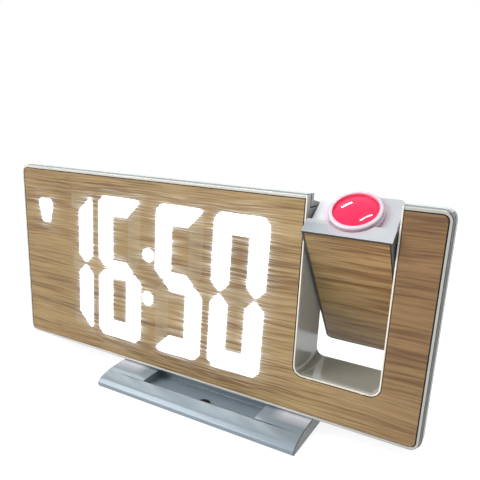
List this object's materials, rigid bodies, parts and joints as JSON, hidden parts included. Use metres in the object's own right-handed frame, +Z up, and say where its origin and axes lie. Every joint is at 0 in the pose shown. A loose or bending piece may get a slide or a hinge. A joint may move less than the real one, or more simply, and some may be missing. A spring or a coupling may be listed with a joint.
{
  "type": "projection alarm clock",
  "caption": "Slim wood-faced LED alarm clock on a low stand, with a tilting projector arm in a notch at one end, a focus ring, rear keys and a sliding cell door.",
  "frame": {"origin": "on the table, below the middle of the body's width, in the plane of the front face", "axes": "+X to the viewer's right along the face, +Y to the back, +Z up"},
  "size_m": [0.195, 0.069, 0.093],
  "materials": {
    "panel_wood": "satin oak-grain face",
    "bezel_silver": "bright silver-white paint on ABS",
    "shell_silver": "satin silver-gray ABS",
    "arm_white": "glossy white ABS",
    "stand_silver": "satin silver paint on ABS",
    "segment_window": "lit white light windows",
    "diffuser_white": "translucent white sheet",
    "mask_white": "white reflector plastic",
    "board_green": "solder-masked glass-fibre board",
    "chip_black": "moulded black packages",
    "led_ivory": "LED packages",
    "spacer_brass": "turned brass",
    "cell_steel": "nickel-plated steel",
    "screw_steel": "zinc-plated steel",
    "plate_steel": "cold-rolled steel",
    "screw_black": "black oxide",
    "button_white": "moulded white keys",
    "pivot_acetal": "natural acetal",
    "spring_bronze": "phosphor-bronze spring",
    "wire_red": "PVC-insulated wire",
    "optics_black": "black ABS",
    "optics_clear": "clear acrylic",
    "lens_pink": "clear lens lit by the red lamp",
    "lamp_red": "red LED",
    "ring_white": "white moulded ring",
    "pad_rubber": "thin non-slip pad"
  },
  "bodies": {
    "body": {"front_bezel": "bezel_silver", "front_panel": "panel_wood", "lit_segments": "segment_window", "diffuser_sheet": "diffuser_white", "segment_mask": "mask_white", "led_board": "board_green", "display_leds": "led_ivory", "board_pillars": "spacer_brass", "main_board": "board_green", "board_chips": "chip_black", "coin_cell": "cell_steel", "cell_clip": "spring_bronze", "buzzer": "chip_black", "usb_output": "cell_steel", "power_inlet": "chip_black", "button_switches": "chip_black", "rear_shell": "shell_silver", "case_screws": "screw_steel", "pivot_bushes": "pivot_acetal", "feed_wires": "wire_red", "stand_shell": "stand_silver", "stand_plate": "plate_steel", "stand_pad": "pad_rubber", "tray_screw": "screw_black", "stand_screws": "screw_steel"},
    "arm": {"arm_front_shell": "arm_white", "arm_panel": "panel_wood", "arm_rear_shell": "arm_white", "arm_screws": "screw_steel", "pivot_barrel": "pivot_acetal", "pivot_pin": "pivot_acetal", "pivot_clips": "screw_steel", "spring_washers": "spring_bronze", "arm_wires": "wire_red", "optics_carrier": "optics_black", "lamp_board": "board_green", "lamp_led": "lamp_red", "condenser_lens": "optics_clear", "image_cell": "optics_black", "lens_tube": "arm_white"},
    "focus": {"focus_ring": "ring_white"},
    "objective": {"lens_cell": "optics_black", "projection_lens": "lens_pink"},
    "cell_door": {"battery_door": "shell_silver"},
    "mode_key": {"mode_button": "button_white"},
    "alarm_key": {"alarm_button": "button_white"},
    "up_key": {"up_button": "button_white"},
    "down_key": {"down_button": "button_white"},
    "lamp_key": {"lamp_button": "button_white"}
  },
  "joints": [
    {"name": "arm_tilt", "type": "hinge", "parent": "body", "child": "arm", "pos_m": [0, 0.0139, 0.07725], "axis": [1, 0, 0], "range_deg": [-36.87, 143.13]},
    {"name": "focus_turn", "type": "hinge", "parent": "arm", "child": "focus", "pos_m": [0.0651, 0.01254, 0.07623], "axis": [0, -0.6, 0.8], "range_deg": [-90, 90]},
    {"name": "lens_travel", "type": "slide", "parent": "arm", "child": "objective", "axis": [0, -0.6, 0.8], "range_m": [-0.00075, 0.00075]},
    {"name": "door_slide", "type": "slide", "parent": "body", "child": "cell_door", "axis": [0, 0, -1], "range_m": [0, 0.0055]},
    {"name": "mode_press", "type": "slide", "parent": "body", "child": "mode_key", "axis": [0, -1, 0], "range_m": [0, 0.0006], "stiffness_N_per_m": 1200},
    {"name": "alarm_press", "type": "slide", "parent": "body", "child": "alarm_key", "axis": [0, -1, 0], "range_m": [0, 0.0006], "stiffness_N_per_m": 1200},
    {"name": "up_press", "type": "slide", "parent": "body", "child": "up_key", "axis": [0, -1, 0], "range_m": [0, 0.0006], "stiffness_N_per_m": 1200},
    {"name": "down_press", "type": "slide", "parent": "body", "child": "down_key", "axis": [0, -1, 0], "range_m": [0, 0.0006], "stiffness_N_per_m": 1200},
    {"name": "lamp_press", "type": "slide", "parent": "body", "child": "lamp_key", "axis": [0, -1, 0], "range_m": [0, 0.0006], "stiffness_N_per_m": 1200}
  ],
  "couplings": [
    {"joint": "focus_turn", "follows": "lens_travel", "rad_per_m": 2094.4}
  ]
}
